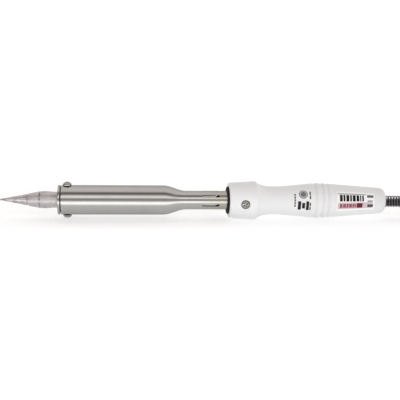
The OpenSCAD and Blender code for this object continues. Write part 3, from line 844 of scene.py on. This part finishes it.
class Print(Look):
    """A printed film: masks in the patch's own millimetres."""

    def __init__(self, name, color, roughness, **fixed):
        super().__init__(name, color, roughness, **fixed)
        uv = self.tree.nodes.new("ShaderNodeUVMap")
        uv.uv_map = "print"
        split = self.tree.nodes.new("ShaderNodeSeparateXYZ")
        self.plug(uv.outputs[0], split.inputs[0])
        self.u, self.v = split.outputs[0], split.outputs[1]

    def inside(self, value, low, high, soft=0.07):
        up = self.remap(value, low - soft, low + soft, 0, 1, smooth=True)
        down = self.remap(value, high - soft, high + soft, 1, 0, smooth=True)
        return self.math("MULTIPLY", up, down)

    def block(self, u_low, u_high, v_low, v_high):
        return self.math("MULTIPLY", self.inside(self.u, u_low, u_high), self.inside(self.v, v_low, v_high))

    def disc(self, u, v, r, soft=0.09):
        du, dv = self.math("SUBTRACT", self.u, u), self.math("SUBTRACT", self.v, v)
        far = self.math("SQRT", self.math("ADD", self.math("MULTIPLY", du, du), self.math("MULTIPLY", dv, dv)))
        return self.remap(far, r - soft, r + soft, 1, 0, smooth=True)

    def either(self, masks):
        out = masks[0]
        for m in masks[1:]:
            out = self.math("MAXIMUM", out, m)
        return out


def label_film():
    """Generic rating label: bars and bands in place of wording."""
    ground, ink, grey = (0.885, 0.895, 0.898), (0.006, 0.006, 0.007), (0.122, 0.122, 0.128)
    look = Print("label_film", ground, 0.4, Specular_IOR_Level=0.2)
    bars = [(at, at + wide, 6.7, 11.1) for at, wide in
            ((1.9, 2.1), (4.5, 1.5), (6.6, 2.2), (9.4, 1.3), (11.3, 2.2), (14.1, 2.0),
            (16.7, 0.9), (18.3, 1.2))]
    words = [(at, at + wide, 2.4, 5.1) for at, wide in
             ((2.0, 1.9), (4.4, 2.1), (6.9, 1.5), (8.8, 2.1), (11.3, 1.5), (13.2, 0.8))]
    layers = [
        ((0.366, 0.390, 0.378), [(0.4, 21.4, 11.4, 12.2)]),
        (ink, bars),
        ((0.610, 0.524, 0.555), [(0.5, 26.0, 1.6, 6.0)]),
        ((0.660, 0.440, 0.476), [(2.0, 19.6, 1.9, 5.6)]),
        ((0.268, 0.085, 0.116), words),
        ((0.122, 0.010, 0.024), [(14.4, 18.6, 2.1, 5.5)]),
        (grey, [(22.0, 26.6, 9.5, 11.5)]),
        ((0.341, 0.341, 0.354), [(22.2, 26.0, 6.1, 7.5)]),
        ((0.073, 0.073, 0.077), [(22.2, 26.4, 2.3, 4.5)]),
    ]
    colour = ground
    for tone, blocks in layers:
        colour = look.blend(look.either([look.block(*b) for b in blocks]), colour, tone)
    look.color(colour)
    grain = look.noise(900, 3, 0.5)
    look.rough(look.remap(grain, 0.3, 0.7, 0.26, 0.36))
    look.bump(grain, 0.05, 0.0001)
    return look.material


def print_film():
    """Generic printed symbols: a ringed disc, bars and dashes in place of the real marks."""
    ground, ink = (0.778, 0.788, 0.791), (0.005, 0.005, 0.0055)
    look = Print("print_film", ground, 0.45, Specular_IOR_Level=0.25)
    colour = look.blend(look.disc(6.9, 12.4, 3.1), ground, (0.244, 0.244, 0.250))
    colour = look.blend(look.disc(6.9, 12.4, 2.4), colour, (0.512, 0.512, 0.518))
    colour = look.blend(look.disc(6.9, 12.4, 1.9), colour, (0.159, 0.159, 0.165))
    bars = [(3.1, 5.3, 1.3, 7.6), (6.0, 8.1, 2.4, 6.5), (8.8, 10.8, 1.3, 7.6)]
    colour = look.blend(look.either([look.block(*b) for b in bars]), colour, ink)
    dashes = [(0.6, 1.6, at, at + 1.6) for at in (3.4, 5.4, 7.4, 9.4, 11.4)]
    dashes += [(11.2, 12.1, at, at + 2.4) for at in (1.5, 4.3, 9.0, 11.8)]
    colour = look.blend(look.either([look.block(*b) for b in dashes]), colour, (0.037, 0.037, 0.038))
    look.color(colour)
    peel = look.noise(420, 3, 0.5)
    look.rough(look.remap(peel, 0.3, 0.7, 0.36, 0.46))
    look.bump(peel, 0.06, 0.0002)
    return look.material


finish_piece(patch("rating_label_film", 232.3, 259.6, -26, 46), "iron", "label_film", label_film(),
             "rating_label")
finish_piece(patch("front_mark_film", 201.5, 214.0, -28, 54), "iron", "print_film", print_film(),
             "front_mark")


# ------------------------------------------------------------------ hank tie
def make_tie():
    """Flat strap round the hank's waist."""
    half_y = TURN_OUTER - PINCH + CORD_D / 2 + 0.15 + TIE_T / 2
    low, high = TIE_T / 2, 3 * CORD_D + 1.5 * TIE_T
    centre_z, half_z, corner = (low + high) / 2, (high - low) / 2, 2.2
    loop = []
    for y, z, start in ((half_y - corner, half_z - corner, 0), (corner - half_y, half_z - corner, 90),
                        (corner - half_y, corner - half_z, 180), (half_y - corner, corner - half_z, 270)):
        for t in span(start, start + 90, 6):
            c, s = math.cos(math.radians(t)), math.sin(math.radians(t))
            loop.append((y + corner * c, z + corner * s, c, s))
    vertices, faces = [], []
    profile = [(-2.3, 1), (-2.0, 1.25), (2.0, 1.25), (2.3, 1), (2.3, -1), (-2.3, -1)]
    for y, z, c, s in loop:
        for x, side in profile:
            lift = side * TIE_T / 2 * 0.8
            vertices.append(spot(HANK_AT + x, y + lift * c, centre_z + z + lift * s))
    n, m = len(loop), len(profile)
    for i in range(n):
        for k in range(m):
            faces.append([i * m + k, i * m + (k + 1) % m, ((i + 1) % n) * m + (k + 1) % m,
                          ((i + 1) % n) * m + k])
    return mesh_piece("hank_tie_strap", vertices, faces, 35)


finish_piece(make_tie(), "iron", "tie_plastic", MATERIALS["tie_plastic"], "hank_tie")

# ------------------------------------------------------------------ plug
PLUG_BACK, PLUG_Y, PLUG_Z = 406.5, -9.0, 3 * CORD_D + 2 * TIE_T + 6.7
PLUG_L, PIN_SPACING = 30.0, 19.0


def plug_place(a, y, z):
    return spot(PLUG_BACK + a, PLUG_Y + y, PLUG_Z + z)


def loft(name, sections, place, segments=72, sharp=40):
    """Skin through sections of (distance, half width, half height, squareness)."""
    vertices, faces = [], []
    for a, wide, high, square in sections:
        for k in range(segments):
            c, s = math.cos(2 * math.pi * k / segments), math.sin(2 * math.pi * k / segments)
            y = wide * math.copysign(abs(c) ** (2 / square), c)
            z = high * math.copysign(abs(s) ** (2 / square), s)
            vertices.append(place(a, y, z))
    for i in range(len(sections) - 1):
        for k in range(segments):
            n = (k + 1) % segments
            faces.append([i * segments + k, i * segments + n, (i + 1) * segments + n, (i + 1) * segments + k])
    last = (len(sections) - 1) * segments
    faces += [list(range(segments)), list(range(last + segments - 1, last - 1, -1))]
    return mesh_piece(name, vertices, faces, sharp)


def make_plug_body():
    sections = [(1.0, 5.2, 5.2, 2.0), (1.2, 5.9, 5.9, 2.0), (1.8, 6.3, 6.2, 2.0)]
    for t in span(0.1, 1, 12):
        rib = 0.18 * math.cos(math.pi * 8 * t) if 0.25 < t < 0.9 else 0
        sections.append((mix(1.8, 15, t), mix(6.3, 13.0, ease(t)) - rib,
                         mix(6.2, 6.5, t) - rib, mix(2.0, 3.2, t)))
    sections += [(20, 13.05, 6.55, 3.4), (PLUG_L - 1.2, 13.05, 6.55, 3.4), (PLUG_L - 0.5, 12.9, 6.4, 3.4),
                 (PLUG_L - 0.1, 12.5, 6.0, 3.4), (PLUG_L, 12.0, 5.5, 3.4)]
    return loft("plug_moulding", sections, plug_place)


def make_plug_boot():
    outline = [(-14, CORD_D / 2 + 0.05), (-14, 2.9), (-13.8, 3.15)]
    for i in range(4):
        at = -12.4 + 3.6 * i
        r = 3.2 + (at + 14) / 22 * 1.7
        outline += [(at - 0.9, r - 0.02), (at - 0.75, r), (at + 0.2, r + 0.04),
                    (at + 0.45, r - 0.1), (at + 0.55, r - 0.7),
                    (at + 1.3, r - 0.7), (at + 1.45, r - 0.1)]
    outline += [(1.5, 4.75), (7.5, 4.9), (7.5, CORD_D / 2 + 0.05)]
    return lathe("plug_relief", outline, 72, closed=True, place=plug_place, sharp=35)


def make_plug_pins():
    pins = []
    for side in (-1, 1):
        def place(a, y, z, side=side):
            return plug_place(a, y + side * PIN_SPACING / 2, z)
        outline = [(PLUG_L - 9.9, 0), (PLUG_L - 9.9, 1.6), (PLUG_L + 0.05, 1.6), (PLUG_L + 0.05, 2)]
        outline += [(PLUG_L + 19 - 1.2 * (1 - math.sin(math.radians(t))),
                     2 - 1.2 * (1 - math.cos(math.radians(t))))
                    for t in range(0, 91, 10)] + [(PLUG_L + 19, 0)]
        pins.append(lathe(f"pin{side}", outline, 48, place=place, sharp=40))
    join(pins[0], pins[1])
    pins[0].name = "plug_pins_detail"
    shade(pins[0], 40)
    return pins[0]


plug_body = finish_piece(make_plug_body(), "iron", "plug_rubber", MATERIALS["plug_rubber"], "plug_body")
plug_boot = finish_piece(make_plug_boot(), "iron", "plug_rubber", MATERIALS["plug_rubber"], "plug_boot")
plug_pins = finish_piece(make_plug_pins(), "iron", "brass_pin", MATERIALS["brass_pin"], "plug_pins")

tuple(CORD_LINE[0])

# ------------------------------------------------------------------ CAD nodes that stay
for part in frame["record"]["subparts"]:
    node = NODES[part["node"]]
    if not node.hide_render:
        node.data.materials.clear()
        node.data.materials.append(MATERIALS[part["material_slot"]])

# ------------------------------------------------------------------ floor and light
FLOOR_HALF = 40.0
FLOOR_ALBEDO = 0.55

# Overall strength of the studio and of the light from the table top
LIGHT_LEVEL = 0.82

# Light given off by the table top, by distance in mm along Y: a bright pool in front, quieter under the iron
TABLE = [(-420, 1.30), (-215, 1.70), (-110, 2.25), (-62, 2.35), (-45, 2.05), (-37, 1.2), (-31, 0.76),
         (-20, 0.68),
         (10, 0.68), (25, 0.66), (85, 0.66), (125, 0.75)]
# Where that light fades out under the handle: along X, and only in front of this Y
POOL_END = (0.055, 0.125)
POOL_EDGE = (-0.050, -0.030)

# Brightness of the studio by direction round the iron's length: degrees above the front horizon, and colour
WARM, ROSE = (1.0, 1.0, 0.975), (1.045, 0.978, 0.968)
STUDIO = [(0, 1.30, WARM), (5, 0.95, WARM), (10, 0.58, WARM), (15, 0.50, WARM), (20, 0.55, ROSE),
          (26, 1.12, ROSE),
          (31, 1.85, ROSE), (38, 2.0, ROSE), (45, 1.34, ROSE), (51, 0.84, ROSE), (56, 0.46, ROSE),
          (61, 0.24, ROSE),
          (68, 0.25, ROSE), (74, 0.60, ROSE), (81, 1.15, ROSE), (100, 1.24, ROSE), (122, 1.20, ROSE),
          (135, 1.00, WARM), (150, 1.10, WARM), (170, 1.45, WARM), (180, 1.90, WARM)]

# The same to the sides, past SIDE_FADE along X, and where the light ends at the left and at the right
SIDES = [(0, 0.60), (30, 0.85), (60, 1.15), (90, 1.90), (130, 2.8), (165, 3.0), (180, 2.4)]
SIDE_FADE = (0.62, 0.80)
END_FADE = (0.60, 0.90)
RIGHT_FADE = (0.72, 0.95)
END_LIGHT = (0.2, 0.4)


def make_ramp(tree, value, low, high, stops):
    """Colour ramp over a value, from (value, brightness, tint) stops; returns its colour at half strength."""
    share = tree.nodes.new("ShaderNodeMapRange")
    share.inputs["From Min"].default_value = low
    share.inputs["From Max"].default_value = high
    tree.links.new(value, share.inputs["Value"])
    ramp = tree.nodes.new("ShaderNodeValToRGB")
    tree.links.new(share.outputs[0], ramp.inputs[0])
    while len(ramp.color_ramp.elements) < len(stops):
        ramp.color_ramp.elements.new(0.5)
    for element, (at, bright, tint) in zip(ramp.color_ramp.elements, stops):
        element.position = (at - low) / (high - low)
        element.color = (*(bright * t / 2 for t in tint), 1)
    return ramp.outputs[0]


def make_floor():
    corners = [(-FLOOR_HALF, -FLOOR_HALF, -0.0002), (FLOOR_HALF, -FLOOR_HALF, -0.0002),
               (FLOOR_HALF, FLOOR_HALF, -0.0002), (-FLOOR_HALF, FLOOR_HALF, -0.0002)]
    floor = mesh_piece("floor", corners, [[0, 1, 2, 3]])
    look = Look("floor", (FLOOR_ALBEDO, FLOOR_ALBEDO, FLOOR_ALBEDO), 0.9, Specular_IOR_Level=0.0)
    stops = [(y * MM, bright, (1, 1, 1)) for y, bright in TABLE]
    look.plug(make_ramp(look.tree, look.axis("y"), stops[0][0], stops[-1][0], stops),
              look.shader.inputs["Emission Color"])
    ahead = look.remap(look.axis("y"), *POOL_EDGE, 1, 0, smooth=True)
    along = look.remap(look.axis("x"), *POOL_END, 0, 0.9, smooth=True)
    given = look.math("SUBTRACT", 2.0, look.math("MULTIPLY", ahead, along))
    look.plug(look.math("MULTIPLY", given, LIGHT_LEVEL), look.shader.inputs["Emission Strength"])
    floor.data.materials.append(look.material)


def make_studio():
    """Long strips over the iron, a plainer light to its sides, and darkness past its ends."""
    world = bpy.data.worlds.new("studio")
    bpy.context.scene.world = world
    world.use_nodes = True
    tree = world.node_tree
    coords = tree.nodes.new("ShaderNodeTexCoord")
    split = tree.nodes.new("ShaderNodeSeparateXYZ")
    tree.links.new(coords.outputs["Generated"], split.inputs[0])

    def math_node(kind, *values):
        node = tree.nodes.new("ShaderNodeMath")
        node.operation = kind
        for value, socket in zip(values, node.inputs):
            if isinstance(value, bpy.types.NodeSocket):
                tree.links.new(value, socket)
            else:
                socket.default_value = value
        return node.outputs[0]

    def fade(value, low, high, out_low, out_high):
        node = tree.nodes.new("ShaderNodeMapRange")
        node.interpolation_type = "SMOOTHSTEP"
        for socket, number in zip(node.inputs[1:5], (low, high, out_low, out_high)):
            socket.default_value = number
        tree.links.new(value, node.inputs[0])
        return node.outputs[0]

    angle = math_node("ARCTAN2", split.outputs[2], math_node("MULTIPLY", split.outputs[1], -1))
    along = math_node("ABSOLUTE", split.outputs[0])
    ramps = []
    for table in (STUDIO, SIDES):
        stops = [(math.radians(stop[0]), stop[1], stop[2] if len(stop) > 2 else (1, 1, 1)) for stop in table]
        ramps.append(make_ramp(tree, angle, 0, math.pi, stops))
    both = tree.nodes.new("ShaderNodeMix")
    both.data_type = "RGBA"
    tree.links.new(fade(along, *SIDE_FADE, 0, 1), both.inputs[0])
    tree.links.new(ramps[0], both.inputs[6])
    tree.links.new(ramps[1], both.inputs[7])
    background = tree.nodes["Background"]
    tree.links.new(both.outputs[2], background.inputs[0])
    left = fade(split.outputs[0], -END_FADE[1], -END_FADE[0], END_LIGHT[0], 2)
    right = fade(split.outputs[0], RIGHT_FADE[0], RIGHT_FADE[1], 1, END_LIGHT[1] / 2)
    ends = math_node("MULTIPLY", left, right)
    tree.links.new(math_node("MULTIPLY", ends, LIGHT_LEVEL), background.inputs[1])


make_floor()
make_studio()
bpy.context.scene.view_settings.view_transform = "Standard"
